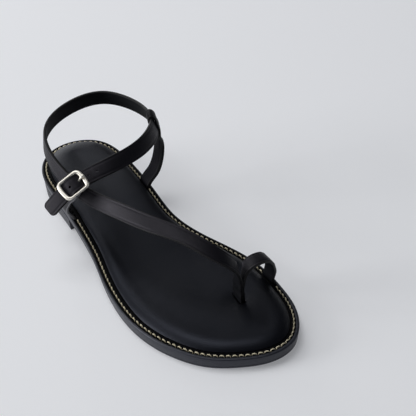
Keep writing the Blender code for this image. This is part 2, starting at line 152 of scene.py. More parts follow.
def ring(inset, height, stop=None, count=SIDE_POINTS):
    """A closed loop of the outline, lifted to the height that a function gives along the shoe."""
    lateral, medial = outline(inset, stop, count)
    loop = np.vstack([lateral, medial[::-1]])
    return np.column_stack([loop, height(loop[:, 0])])


def bands(count, around, first=0):
    """Faces between closed rings of points."""
    index = first + np.arange(count * around).reshape(count, around)
    after = np.roll(index, -1, axis=1)
    return np.stack([index[:-1], after[:-1], after[1:], index[1:]], axis=-1).reshape(-1, 4).tolist()


def crossing(lateral, medial):
    """Faces from side to side between two rows of point numbers."""
    return [list(face) for face in zip(lateral, lateral[1:], medial[1:], medial)]


def piece(name, points, faces, finishes, kinds=None, sharp=35):
    """A closed smooth mesh in the frame's metres. kinds names each face's finish."""
    mesh = bpy.data.meshes.new(name)
    mesh.from_pydata(place(points).tolist(), [], faces)
    for finish in finishes:
        mesh.materials.append(finish)
    if kinds is not None:
        mesh.polygons.foreach_set("material_index", kinds)
    bm = bmesh.new()
    bm.from_mesh(mesh)
    bmesh.ops.remove_doubles(bm, verts=bm.verts, dist=1e-6)
    bmesh.ops.recalc_face_normals(bm, faces=bm.faces)
    bm.to_mesh(mesh)
    bm.free()
    mesh.shade_smooth()
    mesh.set_sharp_from_angle(angle=math.radians(sharp))
    item = bpy.data.objects.new(name, mesh)
    bpy.context.scene.collection.objects.link(item)
    return item


def seam_holes():
    """Needle holes along the rim, one stitch apart, as a closed loop."""
    loop = ring(SEAM_INSET, rim_height)
    loop = np.vstack([loop, loop[:1]])
    length = chords(loop)
    count = round(length[-1] / STITCH)
    where = np.arange(count) * length[-1] / count
    return np.stack([np.interp(where, length, loop[:, k]) for k in range(3)], axis=1)


def rim_ring(inset, holes):
    """A loop of the rim's upper face, sunk along the channel and at the needle holes."""
    loop = ring(inset, rim_height)
    off = inset - SEAM_INSET
    near = np.linalg.norm(loop[:, None, :2] - holes[None, :, :2], axis=2).min(axis=1)
    along = np.sqrt(np.maximum(near**2 - off**2, 0))
    loop[:, 2] -= CHANNEL_DEPTH * math.exp(-((off / CHANNEL_WIDTH) ** 2))
    loop[:, 2] -= PIT_DEPTH * np.exp(-((near / PIT_RADIUS) ** 2))
    swell = PUCKER * math.exp(-((off / PUCKER_REACH) ** 2)) * (1 if off > 0 else PUCKER_OUTSIDE)
    loop[:, 2] += swell * np.sin(np.pi * np.minimum(along / STITCH, 0.5))
    return loop


class Tone:
    """A value that changes over a surface. Arithmetic on it adds Math nodes to its material."""

    def __init__(self, tree, socket=None):
        self.tree = tree
        self.socket = socket

    def node(self, kind, settings=None, sockets=None, output=0):
        """Adds a node: its settings first, then the values or links of its sockets."""
        made = self.tree.nodes.new("ShaderNode" + kind)
        for name, value in (settings or {}).items():
            if name == "stops":
                for i, (at, colour) in enumerate(value):
                    stop = made.color_ramp.elements[i] if i < 2 else made.color_ramp.elements.new(at)
                    stop.position = at
                    stop.color = (*colour, 1)
            else:
                setattr(made, name, value)
        for name, value in (sockets or {}).items():
            self.put(made.inputs[name], value)
        return Tone(self.tree, made.outputs[output])

    def put(self, socket, value):
        if isinstance(value, Tone):
            self.tree.links.new(value.socket, socket)
        else:
            socket.default_value = value

    def maths(self, operation, *values):
        return self.node("Math", {"operation": operation}, dict(enumerate(values)))

    def __add__(self, other):
        return self.maths("ADD", self, other)

    def __mul__(self, other):
        return self.maths("MULTIPLY", self, other)

    __radd__ = __add__
    __rmul__ = __mul__


def new_finish(name, **values):
    """A material with its constant values set, and the Tone that its nodes start from."""
    made = bpy.data.materials.new(name)
    made.use_nodes = True
    shader = made.node_tree.nodes["Principled BSDF"]
    for socket, value in values.items():
        shader.inputs[socket.replace("_", " ")].default_value = value
    return made, shader, Tone(made.node_tree)


def dye(shader, start, tone, *stops):
    """Colours a finish by a tone, through the (place, colour) stops of a ramp."""
    start.put(shader.inputs["Base Color"], start.node("ValToRGB", {"stops": stops}, {"Fac": tone}))


def emboss(shader, start, height, strength, depth):
    """Gives a finish the relief of a height, so strong and so many metres deep."""
    relief = start.node("Bump", None, {"Strength": strength, "Distance": depth, "Height": height})
    start.put(shader.inputs["Normal"], relief)


def noise(start, scale, stretch=(1, 1, 1), detail=3.0, roughness=0.5):
    """Soft noise with so many lumps a metre, drawn out along the frame's axes."""
    where = start.node("TexCoord", output=3)
    where = start.node("Mapping", None, {"Vector": where, "Scale": stretch})
    return start.node(
        "TexNoise", None, {"Vector": where, "Scale": scale, "Detail": detail, "Roughness": roughness}
    )


def sole_ink():
    """Waxed ink on a sanded leather edge: fine level fibres and a slightly uneven shine."""
    made, shader, start = new_finish("sole_ink", Specular_IOR_Level=0.45, Specular_Tint=(0.95, 0.97, 1.1, 1))
    fibres = noise(start, 300, (1, 1, 9), detail=5, roughness=0.65)
    cloud = noise(start, 60)
    dye(shader, start, fibres, (0.3, (0.007, 0.008, 0.012)), (0.75, (0.027, 0.029, 0.038)))
    start.put(shader.inputs["Roughness"], 0.34 + 0.16 * cloud)
    emboss(shader, start, fibres, 0.55, 0.00012)
    return made


def grain(start, cells, pores=0.35):
    """Calf grain: fine cells with a scatter of pores, higher in the cells' middles."""
    where = start.node("TexCoord", output=3)
    cell = start.node(
        "TexVoronoi", {"feature": "DISTANCE_TO_EDGE"}, {"Vector": where, "Scale": cells, "Randomness": 0.9}
    )
    pore = start.node("TexNoise", None, {"Vector": where, "Scale": cells * 0.6, "Detail": 2.0})
    return cell.maths("MINIMUM", cell * 3, 0.6) + pores * pore


def rim_leather():
    """The sole's grain side, dyed black: duller than the footbed, and dusty where it wears."""
    made, shader, start = new_finish("rim_leather", Specular_IOR_Level=0.07)
    cloud = noise(start, 120)
    dye(shader, start, cloud, (0.3, (0.0008, 0.0008, 0.0014)), (0.8, (0.0024, 0.0024, 0.0034)))
    start.put(shader.inputs["Roughness"], 0.58 + 0.2 * cloud)
    emboss(shader, start, grain(start, 1900), 0.4, 0.0001)
    return made


def make_outsole():
    turn = np.radians(EDGE_STEPS)
    holes = seam_holes()
    rings = [
        ring(
            SOLE_DRAFT + SOLE_EDGE * (1 - math.sin(a)),
            lambda u, a=a: under_height(u) + SOLE_EDGE * (1 - math.cos(a)),
        )
        for a in turn
    ]
    for shift, depth in ((-LINE_HALF, 0), (0, LINE_DEPTH), (LINE_HALF, 0)):
        rings.append(ring(SOLE_DRAFT * LINE_LEAN + depth, lambda u, s=shift: under_height(u) + LINE_AT + s))
    rings += [
        ring(RIM_ROUND * (1 - math.cos(a)), lambda u, a=a: rim_height(u) - RIM_ROUND * (1 - math.sin(a)))
        for a in turn
    ]
    inked = [0] * len(rings) + list(RIM_ROWS)
    rings += [rim_ring(inset, holes) for inset in RIM_ROWS]
    around = 2 * SIDE_POINTS
    faces = bands(len(rings), around)
    reach = np.interp(rings[0][:, 0], *INK_REACH)
    kinds = [int(inset > far) for inset in inked[1:] for far in reach]
    for first in (0, (len(rings) - 1) * around):
        loop = list(range(first, first + around))
        faces += crossing(loop[:SIDE_POINTS], loop[SIDE_POINTS:][::-1])
        kinds += [0 if first == 0 else 1] * (SIDE_POINTS - 1)
    return piece("sole", np.vstack(rings), faces, (sole_ink(), rim_leather()), kinds)


sole = make_outsole()
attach(sole, "root")
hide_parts("outsole")


# Heel: a low stack of leather lifts pegged and glued under the back of the outsole, with a straight breast.
# Its side is sanded and inked with the sole's, and the joints between lifts show as fine lines.
HEEL_BREAST, HEEL_DRAFT = 63.4, 0.6
HEEL_SEAT_GAP = 0.15
HEEL_POINTS = 150
LIFT_JOINTS = (0.36, 0.7)  # shares of the heel's height
JOINT_DEPTH, JOINT_SHARE = 0.16, 0.02
#   share of the height, inset
HEEL_FOOT = ((0.0, 0.7), (0.03, 0.2), (0.08, 0.0))  # its lower edge, past the draft
HEEL_HEAD = ((0.97, 0.02), (1.0, 0.25))  # its edge against the sole


def make_heel():
    def seat(u):
        return under_height(u) - HEEL_SEAT_GAP

    rows = [(share, HEEL_DRAFT + inset) for share, inset in HEEL_FOOT]
    for joint in LIFT_JOINTS:
        lean = HEEL_DRAFT * (1 - joint)
        rows += [(joint - JOINT_SHARE, lean), (joint, lean + JOINT_DEPTH), (joint + JOINT_SHARE, lean)]
    rows += HEEL_HEAD
    rings = [
        ring(SOLE_DRAFT + inset, lambda u, share=share: seat(u) * share, HEEL_BREAST, HEEL_POINTS)
        for share, inset in rows
    ]
    around = 2 * HEEL_POINTS
    faces = bands(len(rings), around)
    for first in (0, (len(rings) - 1) * around):
        loop = list(range(first, first + around))
        faces += crossing(loop[:HEEL_POINTS], loop[HEEL_POINTS:][::-1])
    return piece("heel_stack", np.vstack(rings), faces, (bpy.data.materials["sole_ink"],))


heel = make_heel()
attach(heel, "root")
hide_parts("heel")


# Footbed: thin foam wrapped in smooth black calf, turned under all round and glued inside the seam.
# It is dished behind its rolled edge, slit for the toe post and notched for the inner leg.
BED_INSET, BED_ROLL_REACH = 6.0, 11.0
#   along  height  roll  sharpness of the rolled edge, which is tighter beside the waist
BED_EDGE = (
    (20, 4.8, 2.3, 2.4),
    (55, 4.1, 1.8, 4.0),
    (128, 4.1, 1.8, 4.0),
    (178, 4.4, 3.9, 2.9),
)
BED_TURNS = (-60, -30, 0, 12, 24, 36, 48, 60, 70, 80, 90)
BED_UNDERCUT = 0.5
BED_POINTS, BED_COLUMNS = 260, 40
BED_DISH = ((100, 165), (0.7, -0.4))  # hollow under the heel, crowned under the forefoot
BED_DISH_REACH = 10.0
POST_AT, POST_SLIT = (203.1, 2.2), (11.8, 4.9)
POST_TURN = (1.0, -0.25)
PULL_DEPTH, PULL_RADIUS = 1.2, 8.0
# Lip pressed up beside the outer leg: its inner edge, height, softness and reach along the shoe
LIP_LINE, LIP_HEIGHT, LIP_SOFT, LIP_REACH = ((97.0, -32.4), (132.9, -38.7)), 1.3, 2.4, 26.0
MEDIAL_NOTCH, NOTCH_TURN, NOTCH_SIZE = (74.0, 24.4), (1.0, -0.17), (12.0, 4.6)
SLIT_REACH, NOTCH_REACH = (5, 25), (12, 30)  # heights that the cuts go from and to


def bed_leather():
    """Smooth calf over foam: a close grain, and a soft even sheen that wanders a little."""
    made, shader, start = new_finish(
        "bed_leather", Specular_IOR_Level=0.24, Specular_Tint=(0.88, 0.95, 1.2, 1)
    )
    cloud = noise(start, 28, detail=4)
    dye(shader, start, cloud, (0.3, (0.0022, 0.0023, 0.0034)), (0.75, (0.0034, 0.0035, 0.0048)))
    start.put(shader.inputs["Roughness"], 0.33 + 0.12 * cloud)
    emboss(shader, start, grain(start, 1400), 0.45, 0.0001)
    return made


def slot_box(name, middle, turn, length, depth, low, high):
    """A box that cuts a slit: its length lies along turn, and it runs from low to high."""
    along = unit((*turn, 0))
    across = np.array([-along[1], along[0], 0])
    bm = bmesh.new()
    bmesh.ops.create_cube(bm, size=1)
    for vert in bm.verts:
        x, y, z = vert.co
        at = np.array([*middle, (low + high) / 2]) + along * x * length + across * y * depth
        vert.co = place(at + np.array([0, 0, z * (high - low)]))
    bm.normal_update()
    bmesh.ops.recalc_face_normals(bm, faces=bm.faces)
    mesh = bpy.data.meshes.new(name)
    bm.to_mesh(mesh)
    bm.free()
    cutter = bpy.data.objects.new(name, mesh)
    bpy.context.scene.collection.objects.link(cutter)
    return cutter


def cut_away(item, cutters):
    """Takes the cutters out of a piece, for good."""
    for cutter in cutters:
        modifier = item.modifiers.new(cutter.name, "BOOLEAN")
        modifier.operation = "DIFFERENCE"
        modifier.object = cutter
        modifier.solver = "EXACT"
    graph = bpy.context.evaluated_depsgraph_get()
    cut = bpy.data.meshes.new_from_object(item.evaluated_get(graph))
    item.modifiers.clear()
    old = item.data
    item.data = cut
    bpy.data.meshes.remove(old)
    for cutter in cutters:
        bpy.data.meshes.remove(cutter.data)


def edge_height(along, angle):
    """Height of the footbed's edge above the rim, from its turned-under foot to the end of its roll."""
    rows = np.array(BED_EDGE)
    height, roll, sharpness = (np.interp(along, rows[:, 0], rows[:, k]) for k in (1, 2, 3))
    if angle < 0:
        return (height - roll) * (1 + math.sin(angle))
    return height - roll * math.cos(angle) ** sharpness


def pressed(points):
    """The height that the lip beside the outer leg adds at each point, less the pull of the toe post."""
    start, end = np.array(LIP_LINE)
    along = unit(end - start)
    off = points[:, :2] - (start + end) / 2
    inward = off @ np.array([-along[1], along[0]])
    fade = np.exp(-(((off @ along) / LIP_REACH) ** 2))
    raised = LIP_HEIGHT * fade * (1 - np.tanh(inward / LIP_SOFT)) / 2
    apart = np.linalg.norm(points[:, :2] - POST_AT, axis=1)
    return raised - PULL_DEPTH * np.exp(-((apart / PULL_RADIUS) ** 2))


def make_footbed():
    rings = []
    for angle in np.radians(BED_TURNS):
        tuck = BED_UNDERCUT * max(0, -math.sin(angle))
        inset = BED_INSET + tuck + BED_ROLL_REACH * (1 - math.cos(max(0, angle)))
        loop = ring(inset, lambda u, a=angle: rim_height(u) + edge_height(u, a), count=BED_POINTS)
        loop[:, 2] += pressed(loop) * max(0, math.sin(angle))
        rings.append(loop)
    around = 2 * BED_POINTS
    faces = bands(len(rings), around)
    under = list(range(around))
    faces += crossing(under[:BED_POINTS], under[BED_POINTS:][::-1])
    lateral, medial = rings[-1][:BED_POINTS], rings[-1][BED_POINTS:][::-1]
    breadth = np.linalg.norm(lateral - medial, axis=1)
    first = (len(rings) - 1) * around
    left = list(range(first, first + BED_POINTS))
    last = list(range(first + around - 1, first + BED_POINTS - 1, -1))
    points = [np.vstack(rings)]
    for share in (1 - np.cos(np.linspace(0, math.pi, BED_COLUMNS)[1:-1])) / 2:
        edge = np.minimum(share, 1 - share) * breadth / BED_DISH_REACH
        row = lateral * (1 - share) + medial * share
        row[:, 2] += pressed(row) - pressed(lateral) * (1 - share) - pressed(medial) * share
        row[:, 2] -= np.interp(row[:, 0], *BED_DISH) * (1 - np.exp(-edge**2))
        first = sum(map(len, points))
        right = list(range(first, first + BED_POINTS))
        points.append(row)
        faces += crossing(left, right)
        left = right
    faces += crossing(left, last)
    made = piece("footbed_pad", np.vstack(points), faces, (bed_leather(),))
    cut_away(made, (
        slot_box("post_slit", POST_AT, POST_TURN, *POST_SLIT, *SLIT_REACH),
        slot_box("medial_notch", MEDIAL_NOTCH, NOTCH_TURN, *NOTCH_SIZE, *NOTCH_REACH),
    ))
    return made


footbed = make_footbed()
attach(footbed, "root")
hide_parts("footbed")


# Rim seam: one row of waxed cream thread, two plies twisted, through the rim and the outsole.
# Each stitch rises out of one needle hole, lies slightly askew and goes down the next.
PLY_RADIUS, PLY_OFFSET, PLY_SIDES = 0.28, 0.21, 7
STITCH_STEPS, STITCH_TWIST = 11, 1.25
STITCH_SINK, STITCH_RISE, STITCH_SLANT, STITCH_GAP = 1.0, 0.42, 0.26, 0.09
#   along  across  reach of the straps' feet, which hide the seam
STRAP_FEET = ((74.0, 23.8, 6.7), (66.8, -33.3, 8.3), (198.6, 30.4, 6.7))


def thread():
    """Waxed linen thread: cream, with short fibres."""
    made, shader, start = new_finish("thread", Specular_IOR_Level=0.3, Roughness=0.62, Sheen_Weight=0.15)
    fibres = noise(start, 1800, detail=2)
    dye(shader, start, fibres, (0.25, (0.56, 0.49, 0.33)), (0.7, (0.90, 0.83, 0.62)))
    emboss(shader, start, fibres, 0.4, 0.00008)
    return made


def make_seam():
    holes = seam_holes()
    nexts = np.roll(holes, -1, axis=0)
    middles = (holes + nexts) / 2
    feet = np.array(STRAP_FEET)
    apart = np.linalg.norm(middles[:, None, :2] - feet[None, :, :2], axis=2)
    shown = np.all(apart > feet[:, 2], axis=1)
    share = np.linspace(0, 1, STITCH_STEPS)
    lift = STITCH_RISE - (STITCH_SINK + STITCH_RISE) * np.abs(2 * share - 1) ** 4
    step = STITCH_GAP + (1 - 2 * STITCH_GAP) * share
    turn = np.linspace(0, 2 * np.pi, PLY_SIDES, endpoint=False)
    up = np.array([0, 0, 1.0])
    points, faces = [], []
    for start, end in zip(holes[shown], nexts[shown]):
        along = unit(end - start)
        across = unit(np.cross(up, along))
        rise = np.cross(along, across)
        line = start + step[:, None] * (end - start) + across * (STITCH_SLANT * (1 - 2 * share))[:, None]
        line = line + rise * lift[:, None]
        for ply in (0, np.pi):
            spin = ply + 2 * np.pi * STITCH_TWIST * share
            core = line + PLY_OFFSET * (np.cos(spin)[:, None] * across + np.sin(spin)[:, None] * rise)
            around = np.cos(turn)[:, None] * across + np.sin(turn)[:, None] * rise
            tube = core[:, None] + PLY_RADIUS * around[None]
            first = sum(map(len, points))
            points.append(tube.reshape(-1, 3))
            faces += bands(STITCH_STEPS, PLY_SIDES, first)
            faces.append(list(range(first, first + PLY_SIDES)))
            end_ring = first + (STITCH_STEPS - 1) * PLY_SIDES
            faces.append(list(range(end_ring, end_ring + PLY_SIDES)))
    return piece("rim_seam", np.vstack(points), faces, (thread(),), sharp=60)


seam = make_seam()
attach(seam, "root")


# Wrap strap: one long strap of black calf, from the toe slot over the instep, round the heel, through the
# keeper and back over the instep to the buckle. Its edges are creased, sanded round and dyed.
STRAP_WIDTH, STRAP_THICKNESS = 10.8, 2.0
STATION, RUN_STEP = 0.9, 0.2  # between cross-sections, and to each side for the strap's direction
EDGE_ROUND, EDGE_SHARE, EDGE_TURNS = 0.5, 0.45, (60, 30, 0)  # at most that share of the thickness
CREASE_IN, CREASE_HALF, CREASE_DEPTH = 1.45, 0.32, 0.14
STRAP_CROWN, CROWN_AT, CROWN_SHARE = 0.08, 0.45, 0.8  # highest in the middle, less at that half width
TIP_ROUND = 3.0
TIP_TURNS = (0, 10, 20, 30, 40, 50, 60, 68, 75, 80, 84, 87)
# turn and tip are the compass and height angles of the strap's outer face, in degrees
#    along  across  up   turn  tip
WRAP_STRAP = (
    (203.2, 1.65, 8.3, 76, 0),
    (203.2, 1.65, 24.7, 79, 4),
    (204.2, -0.8, 41.2, 55, 23),
    (197.2, -9.2, 51.4, 22, 62),
    (179.5, -17.1, 57.5, -23, 77),
    (155.3, -26.3, 58.4, -78, 59),
    (126.0, -31.7, 54.8, -80, 38),
    (98.0, -37.6, 54.0, -76, 20),
    (73.5, -41.2, 60.5, -90, 13),
    (51.1, -36.5, 64.3, -114, 8),
    (30.0, -21.7, 63.5, -143, 4),
    (19.4, 2.9, 62.9, -177, 1),
    (24.3, 26.4, 63.3, -219, 4),
    (45.8, 37.3, 63.7, -257, 8),
    (68.9, 35.6, 66.7, -283, 13),
    (77.8, 32.4, 68.4, -298, 18),
    (86.4, 26.5, 69.7, -315, 24),
    (97.1, 10.7, 70.5, -339, 35),
    (100.9, -7.7, 70.6, -359, 45),
    (99.3, -26.9, 68.9, -381, 56),
)
BUCKLE_CENTRE, BUCKLE_RUN = (96.5, -45.7, 65.2), (-0.11, -0.92, -0.37)
BUCKLE_TURN, BUCKLE_TIP = -44, 57
#   run   lift, in the buckle's own directions
WRAP_END = ((-8.2, -2.7), (-5.2, -1.7), (0.0, 0.4), (5.2, -1.7), (8.2, -2.8), (22.2, -10.0))
HOLES, PRONG_HOLE = (-22.9, -29.8, -36.5, -43.2), 1  # distance from the tip, and the prong's one
HOLE_RADIUS, PRONG_STRETCH = 0.85, 1.7
# Creases where the strap bends: above the slot, over the toe and beside the buckle
#   place  depth  breadth
WRAP_CREASES = (
    (9.0, 0.25, 1.3), (12.6, -0.12, 1.6), (17.0, 0.28, 1.5), (33.0, -0.25, 3.0),
    (-34.0, 0.22, 0.9), (-36.0, -0.12, 0.9), (-39.6, 0.26, 1.2), (-42.0, -0.14, 1.2), (-47.5, 0.16, 1.6),
)


def strap_face(name="strap_face", shine=0.28):
    """Strap calf, dyed black: a close grain and a soft sheen that wanders a little."""
    made, shader, start = new_finish(name, Specular_IOR_Level=shine, Specular_Tint=(1.0, 0.95, 1.09, 1))
    cloud = noise(start, 45, detail=4)
    dye(shader, start, cloud, (0.3, (0.0022, 0.0023, 0.0036)), (0.75, (0.0036, 0.0036, 0.0052)))
    start.put(shader.inputs["Roughness"], 0.44 + 0.14 * cloud)
    emboss(shader, start, grain(start, 1500), 0.5, 0.00011)
    return made


def strap_edge(name="strap_edge", colour=(0.006, 0.0058, 0.0070, 1), shine=0.24):
    """The strap's sanded edge, dyed: by default a little paler and duller than its face."""
    made, shader, start = new_finish(name, Base_Color=colour, Specular_IOR_Level=shine)
    fibres = noise(start, 900, detail=4, roughness=0.6)
    start.put(shader.inputs["Roughness"], 0.45 + 0.2 * fibres)
    emboss(shader, start, fibres, 0.3, 0.00006)
    return made


def strap_flesh():
    """The strap's inner side: bare black fibres in level streaks, with hardly any shine."""
    made, shader, start = new_finish("strap_flesh", Specular_IOR_Level=0.12, Roughness=0.7)
    fibres = noise(start, 220, (1, 1, 6), detail=5, roughness=0.65)
    dye(shader, start, fibres, (0.4, (0.0010, 0.0012, 0.0022)), (0.7, (0.0055, 0.0064, 0.0098)))
    emboss(shader, start, fibres, 0.4, 0.0001)
    return made


STRAP_FINISHES = (strap_face(), strap_edge(), strap_flesh())


def strip_frames(rows, flat=None, station=STATION, round_end=0.0):
    """(distance to the end, middle, run, width direction) at a strap's cross-sections."""
    rows = np.asarray(rows, float)
    middle = rows[:, :3]
    knots = chords(middle)
    where = np.linspace(0, knots[-1], round(knots[-1] / station) + 1)
    if round_end:
        corner = knots[-1] - round_end * (1 - np.sin(np.radians(TIP_TURNS)))
        where = np.concatenate([where[where < corner[0] - station / 2], corner])
    points = spline(knots, middle, where)
    ahead, behind = np.minimum(where + RUN_STEP, knots[-1]), np.maximum(where - RUN_STEP, 0)
    run = unit(spline(knots, middle, ahead) - spline(knots, middle, behind))
    if flat is not None:
        wide = spline(knots, np.broadcast_to(flat, middle.shape), where)
    else:
        turn, tip = np.radians(rows[:, 3:5].T)
        facing = np.stack([np.cos(tip) * np.cos(turn), np.cos(tip) * np.sin(turn), np.sin(tip)], axis=1)
        wide = np.cross(spline(knots, facing, where), run)
    wide = unit(wide - run * np.sum(wide * run, axis=1, keepdims=True))
    return where - knots[-1], points, run, wide


def strip_section(thickness):
    """A strap's cross-section: share of the half width, inset from the edge, lift and the side's finish."""
    half, curve = thickness / 2, min(EDGE_ROUND, EDGE_SHARE * thickness)
    face = [
        (0, 0, half + STRAP_CROWN, 0),
        (CROWN_AT, 0, half + CROWN_SHARE * STRAP_CROWN, 0),
        (1, CREASE_IN + CREASE_HALF, half, 0),
        (1, CREASE_IN, half - CREASE_DEPTH, 0),
        (1, CREASE_IN - CREASE_HALF, half, 0),
        (1, curve, half, 1),
    ]
    corner = [
        (1, curve * (1 - math.cos(math.radians(a))), half - curve * (1 - math.sin(math.radians(a))), 1)
        for a in EDGE_TURNS
    ]
    back = [(1, curve, -half, 2), (CROWN_AT, 0, -half, 2), (0, 0, -half, 2)]
    right = [*face, *corner, *((s, i, -t, e) for s, i, t, e in corner[::-1]), *back]
    left = [(-s, i, t, e) for s, i, t, e in right[-2:0:-1]]
    return np.array(right + left, float)


def strip(
    name, rows, width, thickness, flat=None, outer=1, station=STATION, round_end=0.0, creases=(),
    finishes=STRAP_FINISHES,
):
    """A strap along its rows: a rounded section swept with its outer face on the side that outer gives.

    creases lists (place, depth, breadth) of soft troughs across it, each placed by its distance from
    the start or, where negative, from the end. A negative depth makes a ridge.
    """
    where, middle, run, wide = strip_frames(rows, flat, station, round_end)
    face = outer * np.cross(run, wide)
    share, inset, lift, finish = strip_section(thickness).T
    left = np.clip(round_end + where, 0, round_end)
    half = width / 2 - round_end + np.sqrt(round_end**2 - left**2)
    over = np.clip(EDGE_ROUND + where, 0, EDGE_ROUND) if round_end else 0 * where
    thin = 1 - (EDGE_ROUND - np.sqrt(EDGE_ROUND**2 - over**2)) / (thickness / 2)
    offset = half[:, None] * share - np.sign(share) * inset
    raised = thin[:, None] * lift
    for at, depth, breadth in creases:
        from_crease = where - (at if at < 0 else where[0] + at)
        raised = raised - depth * np.exp(-((from_crease / breadth) ** 2))[:, None]
    points = middle[:, None] + wide[:, None] * offset[..., None] + face[:, None] * raised[..., None]
    count, around = points.shape[:2]
    faces = bands(count, around)
    kinds = np.tile(np.where(share < 0, np.roll(finish, -1), finish), count - 1).astype(int).tolist()
    faces += [list(range(around)), list(range((count - 1) * around, count * around))]
    return piece(name, points.reshape(-1, 3), faces, finishes, kinds + [1, 1], sharp=50)


def face_frame(run, turn, tip):
    """(run, outer face, side) of a strap that faces turn and tip."""
    turn, tip = math.radians(turn), math.radians(tip)
    face = np.array([math.cos(tip) * math.cos(turn), math.cos(tip) * math.sin(turn), math.sin(tip)])
    run = unit(run - face * np.dot(run, face))
    return run, face, np.cross(run, face)


def buckle_point(run, across, lift):
    """A point of the buckle: towards the strap's tip, across the strap, and out from its face."""
    along, face, side = face_frame(np.array(BUCKLE_RUN), BUCKLE_TURN, BUCKLE_TIP)
    return np.array(BUCKLE_CENTRE) + along * run + side * across + face * lift


def round_cutter(name, middle, axis, along, radius, stretch=1.0, length=3.6):
    """A punch: a short cylinder about axis, drawn out along the strap by stretch."""
    axis, along = (Vector(v) for v in (place(axis) - place((0, 0, 0)), place(along) - place((0, 0, 0))))
    axis.normalize()
    along = (along - axis * along.dot(axis)).normalized()
    side = axis.cross(along)
    turn = Matrix((along * stretch, side, axis)).transposed().to_4x4()
    bm = bmesh.new()
    bmesh.ops.create_cone(
        bm, cap_ends=True, segments=24, radius1=radius / 1000, radius2=radius / 1000, depth=length / 1000,
        matrix=Matrix.Translation(Vector(place(middle))) @ turn,
    )
    bm.normal_update()
    bmesh.ops.recalc_face_normals(bm, faces=bm.faces)
    mesh = bpy.data.meshes.new(name)
    bm.to_mesh(mesh)
    bm.free()
    cutter = bpy.data.objects.new(name, mesh)
    bpy.context.scene.collection.objects.link(cutter)
    return cutter


def make_wrap_strap():
    end = [(*buckle_point(run, 0, lift), BUCKLE_TURN - 360, BUCKLE_TIP) for run, lift in WRAP_END]
    rows = [*WRAP_STRAP, *end]
    made = strip("wrap_strap", rows, STRAP_WIDTH, STRAP_THICKNESS, round_end=TIP_ROUND, creases=WRAP_CREASES)
    where, middle, run, wide = strip_frames(rows, round_end=TIP_ROUND)
    punches = []
    for n, at in enumerate(HOLES):
        k = np.argmin(np.abs(where - at))
        stretch = PRONG_STRETCH if n == PRONG_HOLE else 1
        punches.append(round_cutter(
            f"punch_{n}", middle[k], np.cross(run[k], wide[k]), run[k], HOLE_RADIUS, stretch
        ))
    cut_away(made, punches)
    return made


wrap_strap = make_wrap_strap()
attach(wrap_strap, "root")
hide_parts("upper_straps")


# Toe loop: a short strap of the same calf that shares the toe slot, goes over the great toe
# and down through the rim on the inner side.
LOOP_WIDTH = 10.4
# skew is how far the loop's width leans across for each unit along
#    along  across  up  skew
TOE_LOOP = (
    (203.2, 3.3, 8.0, -0.25),
    (203.2, 3.3, 14.0, -0.25),
    (203.2, 3.3, 21.0, -0.30),
    (204.4, 5.2, 30.0, -0.70),
    (204.0, 9.0, 36.2, -0.45),
    (203.9, 16.3, 37.6, -0.22),
    (203.8, 23.9, 34.8, -0.12),
    (201.9, 28.5, 27.2, -0.08),
    (200.1, 31.0, 18.8, -0.08),
    (198.6, 30.4, 11.0, -0.10),
    (198.6, 30.4, 5.5, -0.10),
)
LOOP_FLAT = [(1.0, skew, 0.0) for *_, skew in TOE_LOOP]
LOOP_CREASES = ((20.5, 0.22, 1.4), (24.0, -0.15, 1.6), (47.0, 0.2, 1.6), (51.0, -0.12, 1.8))

toe_loop = strip("toe_loop", TOE_LOOP, LOOP_WIDTH, STRAP_THICKNESS, LOOP_FLAT, outer=-1, creases=LOOP_CREASES)
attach(toe_loop, "root")
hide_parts("upper_straps")


# Medial leg: one thin strip, up from the rim, round the wrap strap as its keeper and down again,
# so that below the keeper it lies double.
MEDIAL_WIDTH, MEDIAL_LAYER, LAYER_APART = 11.4, 1.35, 0.52  # each layer's share off the middle
MEDIAL_FLAT = (1.0, -0.17, 0.05)
KEEPER_ROW = 15
KEEPER_CLEAR, KEEPER_STRAIGHT, KEEPER_CREST = 0.4, 4.4, 6.5
MEDIAL_LEG = (
    (74.0, 23.8, 12.3),
    (74.0, 23.8, 16.4),
    (74.4, 25.4, 20.5),
    (75.6, 30.6, 26.6),
    (75.8, 35.5, 36.3),
    (76.0, 37.0, 48.9),
    (77.7, 34.6, 57.8),
)


def make_medial_leg():
    leg = np.array(MEDIAL_LEG)
    out = np.cross(unit(np.gradient(leg, axis=0)), unit(MEDIAL_FLAT)) * MEDIAL_LAYER * LAYER_APART
    middle = np.array(WRAP_STRAP[KEEPER_ROW][:3])
    run = np.array(WRAP_STRAP[KEEPER_ROW + 1][:3]) - np.array(WRAP_STRAP[KEEPER_ROW - 1][:3])
    run, face, rise = face_frame(run, *WRAP_STRAP[KEEPER_ROW][3:])
    reach = (STRAP_THICKNESS + MEDIAL_LAYER) / 2 + KEEPER_CLEAR
    bend = ((reach, -KEEPER_STRAIGHT), (reach, 0), (reach, KEEPER_STRAIGHT), (0, KEEPER_CREST))
    bend += tuple((-a, b) for a, b in bend[2::-1])
    keeper = [middle + face * a + rise * b for a, b in bend]
    rows = np.vstack([leg + out, keeper, (leg - out)[::-1]])
    flats = np.array([MEDIAL_FLAT] * len(leg) + [run] * len(keeper) + [MEDIAL_FLAT] * len(leg))
    # The medial leg's face is the strap calf with its shine cut to 0.08: a shaded copy, painted shade for the
    # shade the leg stands in.
    finishes = (strap_face("leg_face_painted_shade", 0.08), *STRAP_FINISHES[1:])
    return strip("medial_leg", rows, MEDIAL_WIDTH, MEDIAL_LAYER, flats, station=0.7, finishes=finishes)


medial_leg = make_medial_leg()
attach(medial_leg, "root")
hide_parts("upper_straps")


